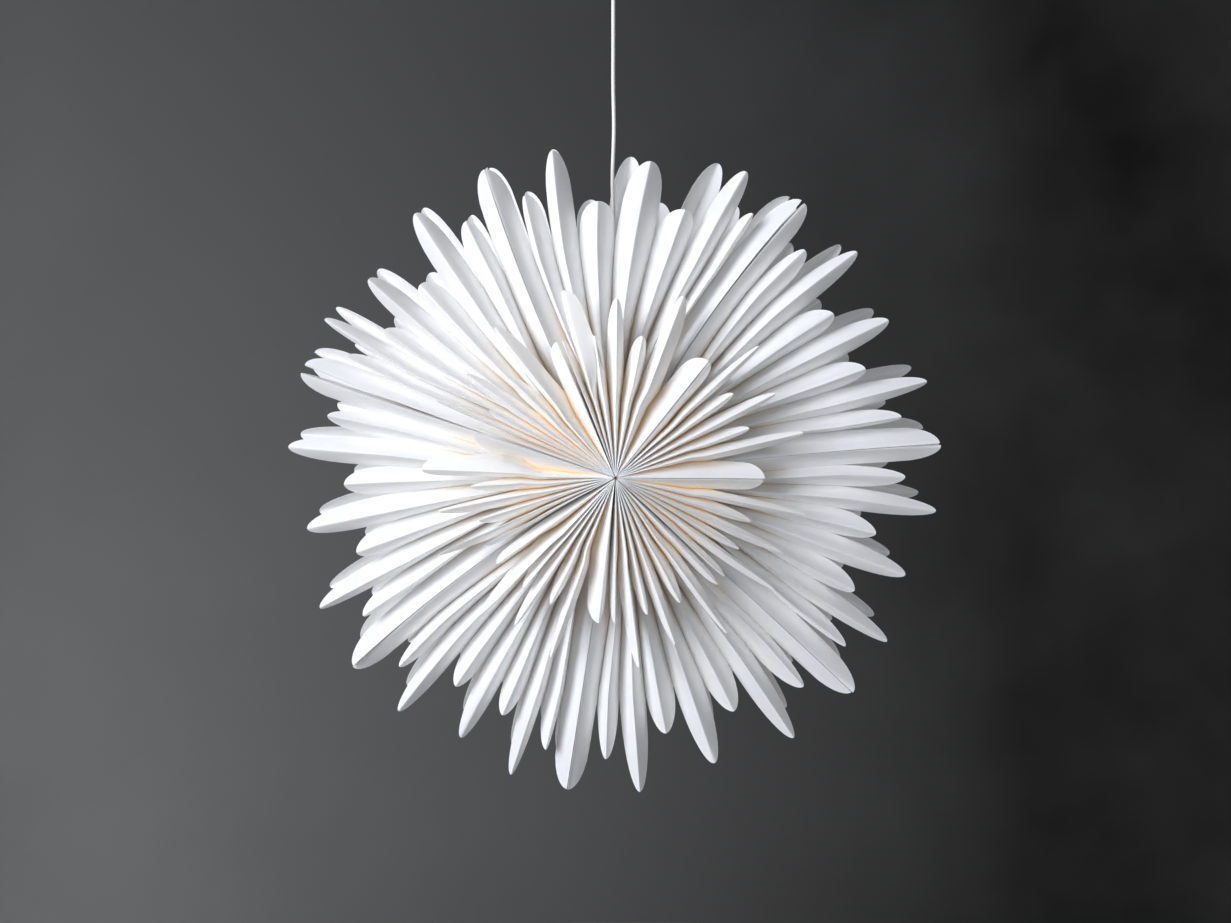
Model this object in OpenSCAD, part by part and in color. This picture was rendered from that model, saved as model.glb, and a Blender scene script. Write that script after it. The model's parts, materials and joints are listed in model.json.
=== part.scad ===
// Pleated paper starburst pendant lantern.
// Seven fan-folded paper sections close into a ring round a card core tube that lies along Y,
// and the ring hangs on a lamp flex from a ceiling canopy.
// +Z is up, the front faces -Y, and the origin is the top of the ceiling plate.

/* [Paper star] */
// Radius of the longest outer petals
tip_radius = 391; // [330:1:420]
// Height of the outer rosette's apex in front of the middle plane
outer_apex = 84; // [78:1:86]
// Height of the inner rosette's apex in front of the middle plane
inner_apex = 120; // [118:1:130]
// Thickness of the paper, measured along the core tube
paper_t = 0.4; // [0.3:0.05:0.8]
// Depth of a pleat, from its ridge back to the valley beside it
pleat_depth = 32; // [28:1:33]
// Fall of an outer ridge towards the middle plane, per unit of radius
ridge_fall = 0.012; // [0:0.002:0.03]

/* [Spine and core] */
// Outer radius of the glued paper spines
spine_r = 12; // [10:0.5:13]
// Outer radius of the card core tube
core_r = 3.8; // [3:0.1:5]
// Radius of the hole through the core tube
core_bore_r = 1.5; // [1:0.1:2]

/* [Hanging] */
// Drop from the ceiling to the core tube's axis
hub_drop = 700; // [660:5:900]
// Diameter of the lamp flex
flex_d = 4.5; // [4:0.1:5]
// Outer radius of the ceiling canopy
canopy_r = 50; // [48:1:60]
// Height of the ceiling canopy
canopy_h = 62; // [55:1:66]
// Distance between the ceiling screws
screw_spacing = 60; // [50:1:64]
// Radius of the ceiling screw holes
screw_hole_r = 2.25; // [2:0.05:2.5]

/* [Lamp] */
// Radius of the bulb's globe
globe_r = 22.5; // [20:0.5:25]
// Outer radius of the lampholder's threaded body
holder_r = 13.8; // [13:0.1:14]
// Diameter of the yoke's wire
yoke_wire_d = 2; // [1.6:0.1:2.4]

/* [Hidden] */
$fn = 64;

white_paper = "#f4f1ea";
white_plastic = "#eceae4";

// The directions of the junctions between sections, counterclockwise from +X as seen from the front.
// Section 1 starts at the closing seam.
junction = [162, 216.5, 261.5, 317, 365, 416, 472.5, 522];
// How far each section's outer and inner pleats are pushed towards its last junction; below 0,
// towards its first
outer_lean = [0.05, 0.08, -0.1, -0.16, -0.22, -0.08, 0.5];
inner_lean = [0.1, -0.2, 0.1, -0.42, -0.3, 0.4, 0.65];
// How far each section's outer pleats are drawn apart in the middle
spread = [0, 0, 0, 0, 0, 0.3, 0];
// From a junction's plane to the middle and to the near side of the face glued there
face_offset = 0.35;
face_near = 0.15;
// Inner end of every leaf, inside the spine's outer radius so that paper and spine are joined
leaf_in_r = spine_r - 1;

// Petals of one section's outer leaf: where each ridge stands across the section, from 0 to 1,
// and how long its petal is in tip radii. The first and last are half petals.
outer_ridge = [0, 0.125, 0.245, 0.375, 0.51, 0.64, 0.77, 0.885, 1];
outer_length = [1, 0.89, 0.995, 0.826, 0.954, 0.826, 0.995, 0.89, 1];
outer_valley = [0.085, 0.185, 0.31, 0.4425, 0.575, 0.705, 0.815, 0.915];
outer_fork = 0.69;

// The same for the inner leaf
inner_ridge = [0, 0.18, 0.335, 0.5, 0.665, 0.82, 1];
inner_length = [0.45, 0.586, 0.435, 0.547, 0.435, 0.586, 0.45];
inner_valley = [0.105, 0.255, 0.42, 0.58, 0.745, 0.895];
inner_fork = 0.281;

// Inner edge of a face, inside the spine
face_in_r = 8;
// Window in each face, round the lamp and the yoke
window_r = 115;
window_y = 50;
// Depth of a half petal cut into a face, for the outer and the inner leaf
outer_lobe = 36;
inner_lobe = 25;

// Steps from a ridge, 0, to a valley, 1, and the share of a petal that its rounded end takes
pleat_steps = [0, 0.35, 0.62, 0.86];
end_share = 0.85;

// Heights above the core tube's axis
globe_z = 80;
housing_z = 88;
base_z = 112;
base_top_z = 134;
holder_z = 114;
plate_z = 124.5;
plate_t = 2;
flange_t = 4;
contact_z = 141;
holder_top_z = 150;
cap_top_z = 176;
gland_top_z = 190;
relief_top_z = 232;
flex_end_z = 158;

flange_z = plate_z + plate_t;
yoke_leg_x = 31;
yoke_hook_r = spine_r + 2.2;
clearance = 0.3;
flex_r = flex_d / 2;
core_wire_r = 0.9;
anchor_r = 7;
anchor_bottom_z = -24;
flex_top_z = -12;
plate_thick = 2.5;
plate_r = canopy_r - 5;
cup_wall = 1.2;
bush_r = 6.5;
bush_h = 12;
band_y = 32;
block_x = 12;
block_size = [20, 18, 13];
terminal_z = -9;
terminal_y = 4.5;

// ---- frames -------------------------------------------------------------------------

// Moves children drawn about the core tube's middle to its place under the ceiling
module at_hub() translate([0, 0, -hub_drop]) children();

// Turns children drawn along Z so that they lie along the core tube, with Z towards the front
module along_core() rotate([90, 0, 0]) children();

// A straight round rod between two points
module rod(p, q, r) {
    d = q - p;
    translate(p)
        rotate([0, acos(d.z / norm(d)), atan2(d.y, d.x)])
            cylinder(h = norm(d), r = r, $fn = 24);
}

module tube(r, bore_r, z0, z1) {
    translate([0, 0, z0]) difference() {
        cylinder(h = z1 - z0, r = r);
        translate([0, 0, -1]) cylinder(h = z1 - z0 + 2, r = bore_r);
    }
}

// ---- paper --------------------------------------------------------------------------

// How far out a petal between radii fork and tip reaches at step v from its ridge, 0, to its
// valley, 1. Its sides run parallel and then close in half an ellipse.
function cut_r(fork, tip, v) =
    let (along = sqrt(max(0, 1 - pow(v * tip / fork, 2))))
    min(fork / max(v, 0.01), tip - end_share * (tip - fork) * (1 - along));

// Columns [fraction across the section, step v, tip length] from each ridge down to the next
// valley and up again
function leaf_columns(ridge, length, valley) = concat(
    [for (i = [0 : len(valley) - 1]) each concat(
        [for (v = pleat_steps)
            [ridge[i] + v * (valley[i] - ridge[i]), v, length[i]]],
        [[valley[i], 1, length[i]]],
        [for (k = [len(pleat_steps) - 1 : -1 : 1])
            let (v = pleat_steps[k])
            [ridge[i + 1] + v * (valley[i] - ridge[i + 1]), v, length[i + 1]]]
    )],
    [[1, 0, length[len(length) - 1]]]
);

// Where a pleat that would stand at f stands when its section's pleats are pushed and drawn apart
function shifted(f, push, apart) = f + push * f * (1 - f) - apart * sin(360 * f) / 6.28;

// A point of a section's sheet at fraction f across it, r from the core and y from the middle.
// The sheet's two ends stay a fixed distance from the junctions' planes.
function sheet_point(section, f, r, y) =
    let (
        inset = asin(face_offset / r),
        from = junction[section - 1] + inset,
        to = junction[section] - inset,
        a = from + f * (to - from)
    )
    [r * cos(a), y, r * sin(a)];

// One pleated leaf behind the middle plane, as a closed sheet of the paper's thickness.
// Each column gives four points: outside near and far, then inside far and near.
module leaf(section, columns, fork, apex, fall, push, apart) {
    points = [for (c = columns) each
        let (
            f = shifted(c[0], push, apart),
            far = cut_r(fork * tip_radius, c[2] * tip_radius, c[1])
        )
        [for (k = [[leaf_in_r, 0], [far, 0], [far, 1], [leaf_in_r, 1]])
            sheet_point(section, f, k[0],
                        apex - fall * k[0] - pleat_depth * c[1] - k[1] * paper_t)]
    ];
    last = 4 * (len(columns) - 1);
    quads = concat(
        [for (i = [0 : 4 : last - 4]) each [
            [i, i + 1, i + 5, i + 4],
            [i + 3, i + 7, i + 6, i + 2],
            [i + 5, i + 1, i + 2, i + 6],
            [i, i + 4, i + 7, i + 3]
        ]],
        [[1, 0, 3, 2], [last, last + 1, last + 2, last + 3]]
    );
    color(white_paper) at_hub()
        polyhedron(points, [for (q = quads) each [[q[0], q[1], q[2]], [q[0], q[2], q[3]]]]);
}

module outer_leaf(section)
    leaf(section, leaf_columns(outer_ridge, outer_length, outer_valley), outer_fork, outer_apex,
         ridge_fall, outer_lean[section - 1], spread[section - 1]);

module inner_leaf(section)
    leaf(section, leaf_columns(inner_ridge, inner_length, inner_valley), inner_fork, inner_apex,
         0, inner_lean[section - 1], 0);

module front() mirror([0, 1, 0]) children();

// The half petal that a face shows beside a ridge, from its tip down to its fork
function lobe(fork, tip, apex, fall, depth) = [for (v = concat(pleat_steps, [1]))
    let (r = cut_r(fork * tip_radius, tip * tip_radius, v))
    [r, apex - fall * r - paper_t / 2 - v * depth]];

// One half of a face's outline, from the core to the middle plane, as [radius, y]
face_half = concat(
    [[face_in_r, window_y], [face_in_r, inner_apex - paper_t / 2]],
    lobe(inner_fork, inner_length[0], inner_apex, 0, inner_lobe),
    [let (r = inner_fork * tip_radius) [r, outer_apex - ridge_fall * r - paper_t / 2]],
    lobe(outer_fork, outer_length[0], outer_apex, ridge_fall, outer_lobe)
);

// A flat face on one side of a junction, with the window round the lamp
module face(angle, near) {
    back_half = [for (k = [len(face_half) - 1 : -1 : 0]) [face_half[k].x, -face_half[k].y]];
    outline = concat(face_half, back_half, [[window_r, -window_y], [window_r, window_y]]);
    rotate([0, -angle, 0]) translate([0, 0, near]) linear_extrude(paper_t) polygon(outline);
}

// One section's two flat faces, which are glued to its neighbours, and its pleats' bunched
// inner edges, glued into a solid sector round the core tube
module faces(section) {
    sector_inset = 0.4;
    half_length = inner_apex - paper_t;
    from = junction[section - 1] + sector_inset;
    to = junction[section] - sector_inset;
    bore = core_r + 0.2;
    color("#efebe1") at_hub() {
        along_core() rotate([0, 0, from])
            rotate_extrude(angle = to - from)
                translate([bore, -half_length])
                    square([spine_r - bore, 2 * half_length]);
        face(junction[section - 1], face_near);
        face(junction[section], -face_near - paper_t);
    }
}

// Strips on the two faces that meet at the closing seam, front and back, let into the paper
module seam_strips(side, tone) {
    near = 130;
    far = 260;
    width = 14;
    edge = 12;
    strip_t = 0.12;
    z = side > 0 ? face_near - strip_t : -face_near;
    color(tone) at_hub()
        for (face = [0, 1]) mirror([0, face, 0])
            rotate([0, -junction[0], 0])
                translate([near, outer_apex - ridge_fall * near - edge - width, z])
                    rotate([0, 0, -atan(ridge_fall)])
                        cube([far - near, width, strip_t]);
}

module seam_tapes() seam_strips(-1, "#d8c49a");
module seam_tabs() seam_strips(1, "#efe8d8");

// ---- core and yoke ------------------------------------------------------------------

module core_tube() {
    color("#b79b6c") at_hub() along_core()
        tube(core_r, core_bore_r, -inner_apex + 5, inner_apex - 5);
}

module spine_bands() {
    color("#e9e4d6") at_hub() along_core()
        for (z = [-band_y, band_y])
            translate([0, 0, z]) tube(spine_r + 1.3, spine_r + clearance, -3, 3);
}

// A hook under the spines, two legs that spread round the bulb, and two arms into the plate.
// Each bend is a little thicker than the wire.
module yoke_wire() {
    r = yoke_wire_d / 2;
    bend_r = 1.15 * r;
    arm_x = 20;
    color("#c9ccd0") at_hub() {
        along_core() rotate([0, 0, 180])
            rotate_extrude(angle = 180)
                translate([yoke_hook_r, 0]) circle(r = r, $fn = 24);
        for (side = [-1, 1]) {
            route = [
                [side * yoke_hook_r, 0, 0],
                [side * yoke_leg_x, 0, 48],
                [side * yoke_leg_x, 0, plate_z + plate_t / 2],
                [side * arm_x, 0, plate_z + plate_t / 2]
            ];
            for (k = [0 : len(route) - 2]) rod(route[k], route[k + 1], r);
            for (k = [0 : 2]) translate(route[k]) sphere(r = bend_r, $fn = 24);
        }
    }
}

module yoke_plate() {
    color("#c9ccd0") at_hub() tube(24, holder_r + clearance, plate_z, plate_z + plate_t);
}

// ---- lamp ---------------------------------------------------------------------------

module lampholder_body() {
    socket_r = 7.3;
    well_r = 11.5;
    color(white_plastic) at_hub() difference() {
        union() {
            translate([0, 0, holder_z]) cylinder(h = holder_top_z - holder_z, r = holder_r);
            translate([0, 0, flange_z]) cylinder(h = flange_t, r = holder_r + 3.2);
        }
        translate([0, 0, holder_z - 1]) cylinder(h = contact_z - holder_z + 1, r = socket_r);
        translate([0, 0, contact_z + 2]) cylinder(h = holder_top_z, r = well_r);
    }
}

module lampholder_cap() {
    wall = 1.6;
    rim_r = holder_r + 1.4;
    neck_r = 8;
    shoulder_z = cap_top_z - 12;
    color(white_plastic) at_hub() difference() {
        union() {
            translate([0, 0, holder_top_z]) cylinder(h = shoulder_z - holder_top_z, r = rim_r);
            translate([0, 0, shoulder_z])
                cylinder(h = cap_top_z - shoulder_z, r1 = rim_r, r2 = neck_r);
        }
        translate([0, 0, holder_top_z - 1])
            cylinder(h = shoulder_z - holder_top_z + 1, r = rim_r - wall);
        translate([0, 0, shoulder_z])
            cylinder(h = cap_top_z - shoulder_z - wall, r1 = rim_r - wall, r2 = neck_r - wall);
        translate([0, 0, cap_top_z - wall - 1]) cylinder(h = wall + 2, r = 4.5);
    }
}

module lampholder_terminals() {
    color("#c8a24c") at_hub() for (side = [-1, 1])
        translate([side * 6.5, 0, contact_z + 2]) {
            translate([-2.5, -3, 0]) cube([5, 6, 6]);
            translate([0, 0, 6]) cylinder(h = 1.2, r = 1.8, $fn = 24);
        }
}

module centre_contact() {
    color("#c8a24c") at_hub() translate([0, 0, contact_z - 1.2]) cylinder(h = 1.2, r = 3.2);
}

module cord_gland() {
    color(white_plastic) at_hub() {
        tube(6.5, flex_r + clearance, cap_top_z, gland_top_z);
        tube(4.5, flex_r + clearance, cap_top_z - 5, cap_top_z);
    }
}

module strain_relief() {
    h = relief_top_z - gland_top_z;
    color(white_plastic) at_hub() translate([0, 0, gland_top_z]) difference() {
        cylinder(h = h, r1 = 5.2, r2 = flex_r + 1);
        translate([0, 0, -1]) cylinder(h = h + 2, r = flex_r + clearance);
    }
}

module shade_ring() {
    h = plate_z - clearance - holder_z - 0.5;
    color(white_plastic) at_hub() translate([0, 0, holder_z + 0.5]) difference() {
        union() {
            cylinder(h = h, r = 19);
            translate([0, 0, h - 3]) cylinder(h = 3, r = 21);
            for (a = [0 : 30 : 330]) rotate([0, 0, a]) translate([19, 0, 0]) cylinder(h = h, r = 1, $fn = 24);
        }
        translate([0, 0, -1]) cylinder(h = h + 2, r = holder_r + 0.2);
    }
}

module bulb_globe() {
    wall = 1.2;
    open_h = 2 * globe_r;
    color("#fbf7ee") at_hub() difference() {
        translate([0, 0, globe_z]) sphere(r = globe_r);
        translate([0, 0, globe_z]) sphere(r = globe_r - wall);
        translate([0, 0, housing_z]) cylinder(h = open_h, r = globe_r + 1);
    }
}

module bulb_housing() {
    rim_r = sqrt(pow(globe_r, 2) - pow(housing_z - globe_z, 2));
    color("#f2f1ee") at_hub() translate([0, 0, housing_z])
        cylinder(h = base_z - housing_z, r1 = rim_r, r2 = 12.5);
}

module bulb_base() {
    shell_r = 6.8;
    thread_pitch = 2.8;
    color("#b9bcc0") at_hub() {
        translate([0, 0, base_z]) cylinder(h = base_top_z - base_z, r = shell_r - 0.5);
        for (k = [0 : 5])
            translate([0, 0, base_z + 3 + k * thread_pitch]) cylinder(h = 1.4, r = shell_r);
        translate([0, 0, base_top_z]) cylinder(h = 3, r1 = 5, r2 = 3.2);
        translate([0, 0, base_top_z + 3]) cylinder(h = 2.4, r = 2.4);
    }
}

// ---- flex ---------------------------------------------------------------------------

// The flex hangs straight from its anchor into the lampholder's cap
flex_route = [for (k = [0 : 39]) [0, 0, flex_top_z + k / 39 * (flex_end_z - hub_drop - flex_top_z)]];
flex_sides = 10;

module flex_cord() {
    n = len(flex_route);
    m = flex_sides;
    points = [for (p = flex_route) each
        [for (s = [0 : m - 1]) p + flex_r * [cos(360 * s / m), sin(360 * s / m), 0]]];
    walls = [for (k = [0 : n - 2]) each [for (s = [0 : m - 1])
        let (t = (s + 1) % m)
        [k * m + s, k * m + t, (k + 1) * m + t, (k + 1) * m + s]]];
    top = [for (s = [m - 1 : -1 : 0]) s];
    bottom = [for (s = [0 : m - 1]) (n - 1) * m + s];
    color("#f3f1ec") polyhedron(points, concat(walls, [top, bottom]));
}

// Short bared ends of the two insulated cores inside the lampholder
module flex_cores() {
    color("#8a5a34") at_hub() for (side = [-1, 1])
        rod([side * 1.2, 0, flex_end_z - 0.6], [side * 6.5, 0, contact_z + 9.2], core_wire_r);
}

// ---- ceiling fitting ----------------------------------------------------------------

module ceiling_plate() {
    color("#b7babd") difference() {
        translate([0, 0, -plate_thick]) cylinder(h = plate_thick, r = plate_r);
        for (side = [-1, 1])
            translate([side * screw_spacing / 2, 0, -plate_thick - 1])
                cylinder(h = plate_thick + 2, r = screw_hole_r);
    }
}

module cord_anchor() {
    window_h = 6;
    color("#d9d9d6") difference() {
        translate([0, 0, anchor_bottom_z]) cylinder(h = -plate_thick - anchor_bottom_z, r = anchor_r);
        translate([0, 0, anchor_bottom_z - 1])
            cylinder(h = flex_top_z - anchor_bottom_z + 1, r = flex_r + 0.02);
        translate([-2.5, -3.5, flex_top_z]) cube([anchor_r + 3, 7, window_h]);
    }
}

module terminal_block() {
    color("#efeeea") difference() {
        translate([block_x, -block_size.y / 2, -plate_thick - block_size.z]) cube(block_size);
        for (side = [-1, 1])
            translate([block_x - 1, side * terminal_y, terminal_z])
                rotate([0, 90, 0]) cylinder(h = block_size.x + 2, r = 1.6, $fn = 32);
    }
}

module terminal_screws() {
    color("#c8a24c") for (side = [-1, 1], x = [block_x + 5, block_x + 15])
        translate([x, side * terminal_y, -plate_thick - block_size.z - 1.2])
            cylinder(h = 1.2, r = 1.7, $fn = 24);
}

// The cup's side, its rounded shoulder and its floor with the bush's hole
module canopy_cup() {
    shoulder = 12;
    inner = canopy_r - cup_wall;
    color(white_plastic) translate([0, 0, -canopy_h]) rotate_extrude() difference() {
        union() {
            translate([0, shoulder]) square([canopy_r, canopy_h - shoulder - clearance]);
            square([canopy_r - shoulder, shoulder]);
            translate([canopy_r - shoulder, shoulder]) circle(r = shoulder);
        }
        translate([0, shoulder]) square([inner, canopy_h]);
        translate([0, cup_wall]) square([canopy_r - shoulder, shoulder]);
        translate([canopy_r - shoulder, shoulder]) circle(r = shoulder - cup_wall);
        translate([-canopy_r, -1]) square([canopy_r + 5, canopy_h + 2]);
    }
}

module canopy_bush() {
    screw_z = -canopy_h - bush_h / 2;
    color(white_plastic) difference() {
        union() {
            translate([0, 0, -canopy_h - bush_h]) cylinder(h = bush_h, r = bush_r);
            translate([0, 0, -canopy_h]) cylinder(h = cup_wall + 3, r = 5);
            translate([0, 0, -canopy_h + cup_wall]) cylinder(h = 3, r = 8);
        }
        translate([0, 0, -canopy_h - bush_h - 1]) cylinder(h = bush_h + 8, r = flex_r + clearance);
        translate([flex_r + 0.6, 0, screw_z]) rotate([0, 90, 0]) cylinder(h = bush_r, r = 1.5, $fn = 32);
    }
}

module canopy_grub_screw() {
    screw_z = -canopy_h - bush_h / 2;
    color("#9a9da1") translate([flex_r + 0.6, 0, screw_z]) rotate([0, 90, 0]) difference() {
        cylinder(h = bush_r - flex_r - 0.2, r = 1.5, $fn = 32);
        translate([0, 0, bush_r - flex_r - 1.7]) cylinder(h = 2, r = 0.8, $fn = 6);
    }
}

// ---- nodes --------------------------------------------------------------------------

for (s = [1 : 7]) {
    front() outer_leaf(s);
    front() inner_leaf(s);
    outer_leaf(s);
    inner_leaf(s);
    faces(s);
}
seam_tapes();
seam_tabs();
core_tube();
spine_bands();
yoke_wire();
yoke_plate();
lampholder_body();
lampholder_cap();
lampholder_terminals();
centre_contact();
cord_gland();
strain_relief();
shade_ring();
bulb_globe();
bulb_housing();
bulb_base();
flex_cord();
flex_cores();
canopy_cup();
canopy_bush();
canopy_grub_screw();
ceiling_plate();
cord_anchor();
terminal_block();
terminal_screws();
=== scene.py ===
"""The looks of a pleated paper starburst pendant lantern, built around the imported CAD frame.

Metres, +Z up, the front faces -Y. Angles round the core tube are in degrees, counterclockwise from
+X as seen from the front.
"""

import json
import math

import bmesh
import bpy
import numpy as np
from mathutils import Matrix, Vector


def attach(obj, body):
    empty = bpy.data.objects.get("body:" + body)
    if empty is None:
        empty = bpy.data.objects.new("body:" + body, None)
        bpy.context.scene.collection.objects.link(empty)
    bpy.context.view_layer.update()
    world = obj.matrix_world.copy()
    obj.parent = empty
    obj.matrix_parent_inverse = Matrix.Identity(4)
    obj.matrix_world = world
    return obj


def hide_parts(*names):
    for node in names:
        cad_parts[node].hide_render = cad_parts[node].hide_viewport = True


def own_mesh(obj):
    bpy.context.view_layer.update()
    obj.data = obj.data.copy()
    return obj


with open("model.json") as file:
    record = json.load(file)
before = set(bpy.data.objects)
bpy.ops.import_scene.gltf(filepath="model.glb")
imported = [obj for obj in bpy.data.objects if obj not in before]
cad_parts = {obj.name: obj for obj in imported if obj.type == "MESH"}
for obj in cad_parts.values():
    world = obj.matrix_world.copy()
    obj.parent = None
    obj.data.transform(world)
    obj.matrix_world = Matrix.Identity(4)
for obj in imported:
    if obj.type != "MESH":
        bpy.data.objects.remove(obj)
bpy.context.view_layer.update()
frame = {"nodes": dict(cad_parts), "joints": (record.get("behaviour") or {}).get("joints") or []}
joints = {j["name"]: j for j in frame["joints"]}
HUB = np.array(joints["fan_fold"]["pos_m"], float)
SEED = 7


def reach(node):
    """How far a CAD node reaches from the core tube's axis."""
    co = np.array([v.co for v in frame["nodes"][node].data.vertices], float) - HUB
    return float(np.hypot(co[:, 0], co[:, 2]).max())


# ---- the star's layout --------------------------------------------------------------

TIP = reach("section_4_front_outer")
LAMP_SECTION = 6

# Thickness of the paper, how far it stands off a junction's plane, and the pleats' full depth
PAPER = 0.00034
FACE_OFFSET = 0.00035
PLEAT_DEPTH = 0.032

# Radii of the room for the core tube, of the spines and of the hole left at the tube's end
CORE_R = 0.0042
SPINE_R = 0.012
HOLE_R = 0.0016

# Junctions between sections in degrees, from the closing seam round to it again, and how far off
# them their planes stand at the tips, at ROOT_R and on the inner leaf
JUNCTIONS = [162, 216.5, 261.5, 317, 365, 416, 472.5, 522]
TIP_TURN = [-0.8, 0, 0, 0, 0, -0.6, 0.4, -0.8]
ROOT_TURN = [0.7, -3.6, 0.2, 0.4, 1.0, 4.1, 4.0, 0.7]
INNER_TURN = [-1.0, -4.8, 5.0, -1.5, -5.7, -4.7, -0.5, -1.0]
ROOT_R = 0.16

# How far each face at a junction stands off it at the outer tips and at the inner ones
TIP_GAP = [0.0045, 0.0002, 0.0002, 0.0002, 0.0002, 0.0016, 0.0003, 0.0045]
INNER_GAP = [0.002, 0.013, 0.009, 0.0052, 0.0004, 0.0004, 0.003, 0.002]
TIP_GAP_FROM = 0.13
INNER_TIP_R = 0.17

# Ridges and valleys are fractions of a section's width, lengths and forks are shares of TIP, and
# lean and spread shift the pleats of each section
OUTER = {
    "name": "outer",
    "ridges": [0, 0.125, 0.245, 0.375, 0.51, 0.64, 0.77, 0.885, 1],
    "lengths": [1, 0.89, 0.995, 0.826, 0.954, 0.826, 0.995, 0.89, 1],
    "valleys": [0.085, 0.185, 0.31, 0.4425, 0.575, 0.705, 0.815, 0.915],
    "lean": [0.05, 0.08, -0.1, -0.16, -0.22, -0.19, 0.5],
    "spread": [0, 0, 0, 0, 0, 0.3, 0],
    "fork": 0.69,
    "start": SPINE_R - 0.001,
    "apex": 0.084,
    "fall": 0.012,
    "curl": 0.005,
    "lobe": 0.036,
}
INNER = {
    "name": "inner",
    "ridges": [0, 0.195, 0.32, 0.475, 0.645, 0.83, 1],
    "lengths": [0.45, 0.586, 0.435, 0.547, 0.435, 0.586, 0.45],
    "valleys": [0.105, 0.255, 0.395, 0.56, 0.74, 0.895],
    "lean": [0.45, -0.1, 0, 0, 0.25, 0.7, 0.9],
    "spread": [0] * 7,
    "fork": 0.281,
    "start": CORE_R,
    "apex": 0.1198,
    "fall": 0.0,
    "curl": 0.004,
    "lobe": 0.025,
}
BACK_LEAN = [0.1, 0.12, -0.05, -0.12, -0.17, 0.12, 0.4]

# Front inner petals whose clockwise panel, this wide, has opened nearly flat: (section, ridge)
OPENED = [(6, 5), (1, 1)]
PANEL = 0.033
OPENS_FROM, OPENS_OVER = 0.09, 0.06
OPENED_LEVEL = 0.85

# The panels beside a junction keep these widths towards the hub, at a section's start and end,
# but nearer the core than EVEN_WITHIN every pleat runs straight in
INNER_WIDE = [
    (0.024, 0.006),
    (0.012, 0.019),
    (0.010, 0.014),
    (0.009, 0.017),
    (0.017, 0.011),
    (0.019, 0.007),
    (0.017, 0.005),
]
OUTER_WIDE = 0.020
EVEN_WITHIN = 0.09
WIDEST_SHARE = 0.42

# Share of their depth that the pleats keep at the core, and where they have all of it
SHALLOW = 0.2
SHALLOW_WITHIN = 0.12

# Share of a petal's free length that its rounded end takes: in each section, at the junctions and
# on the opened petals. A petal loses TAPER of its width before that.
ROUND_SHARE = [0.66, 0.66, 0.7, 0.72, 0.62, 0.42, 0.5]
ROUND_MORE = 0.004
JUNCTION_ROUND = 0.38
OPENED_ROUND = 0.16
TAPER = 0.05

# Steps from a ridge to a valley, and rows from the core to the tips
HALF_STEPS = 12
ROWS = 36

# How much petals differ by chance in length, direction, height and the belly of their panels
TRIM = 0.003
TURN = 0.003
LIFT = 0.0022
BELLY, BELLY_SPREAD = 0.0022, 0.0016

# How round a fold is, as a share of the way from ridge to valley
CREASE = 0.02

# How far in from a cut edge and out from a fold the painted highlight reaches, with the angle
# of a panel that gives its width at a radius, and where the valleys take painted bounce light
EDGE_HIGHLIGHT = 0.0016
FOLD_HIGHLIGHT = 0.0011
PLEAT_ANGLE = math.radians(3.2)
BOUNCE_WITHIN, BOUNCE_OVER = 0.22, 0.18


def shifted(leaf, f, section, side):
    """Where a pleat that would stand at f stands in a section whose pleats lean and spread."""
    lean, spread = leaf["lean"][section - 1], leaf["spread"][section - 1]
    if leaf is OUTER and side > 0:
        lean, spread = BACK_LEAN[section - 1], 0
    return f + lean * f * (1 - f) - spread * np.sin(2 * np.pi * f) / (2 * np.pi)


def junction_angle(junction, r, inner):
    """Angle in radians of a junction, where the sheet is outer leaf, 0, to inner leaf, 1."""
    from_root = np.clip((r - ROOT_R) / (TIP - ROOT_R), 0, 1)
    outer = ROOT_TURN[junction] * (1 - from_root) + TIP_TURN[junction] * from_root
    return np.radians(JUNCTIONS[junction] + outer * (1 - inner) + INNER_TURN[junction] * inner)


def inset(junction, r, y):
    """Angle in radians between a junction and the sheet beside it, r out and y from the middle."""
    gap = TIP_GAP[junction] * (np.clip(r - TIP_GAP_FROM, 0, None) / (TIP - TIP_GAP_FROM)) ** 1.5
    above = np.clip((np.abs(y) - INNER["apex"] + PLEAT_DEPTH) / PLEAT_DEPTH, 0, 1)
    gap = gap + INNER_GAP[junction] * above**1.3 * np.clip(r / INNER_TIP_R, 0, 1.2)
    return np.arcsin(np.clip((FACE_OFFSET + gap) / r, 0, 0.6))


def angle_at(section, f, r, y, inner):
    """Angle in radians of the sheet at fraction f across a section."""
    start = junction_angle(section - 1, r, inner) + inset(section - 1, r, y)
    end = junction_angle(section, r, inner) - inset(section, r, y)
    return start + f * (end - start)


def placed(angle, r, y):
    """Points in the row frame from an angle, a radius and a distance from the middle plane."""
    return np.stack([HUB[0] + r * np.cos(angle), HUB[1] + y, HUB[2] + r * np.sin(angle)], -1)


def end_of_pleat(v, fork, length, rounding):
    """Radius at which a pleat's cut edge crosses step v, from its ridge, 0, to its valley, 1."""
    r = np.linspace(fork, length, 300)
    u = np.clip((r - (length - rounding)) / rounding, 0, 1)
    taper = 1 - TAPER * (r - fork) / (length - fork)
    widest = fork / r * taper * np.sqrt(1 - u**2)
    return np.interp(v, widest[::-1], r[::-1])


def rounded_end(leaf, ridge, length, section):
    """How much of a petal its rounded end takes: less on the wide petals at the junctions."""
    beyond = length - leaf["fork"] * TIP
    if ridge in (0, len(leaf["ridges"]) - 1):
        return JUNCTION_ROUND * beyond
    if leaf is INNER and (section, ridge) in OPENED:
        return OPENED_ROUND * beyond
    return ROUND_SHARE[section - 1] * beyond + ROUND_MORE


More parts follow.
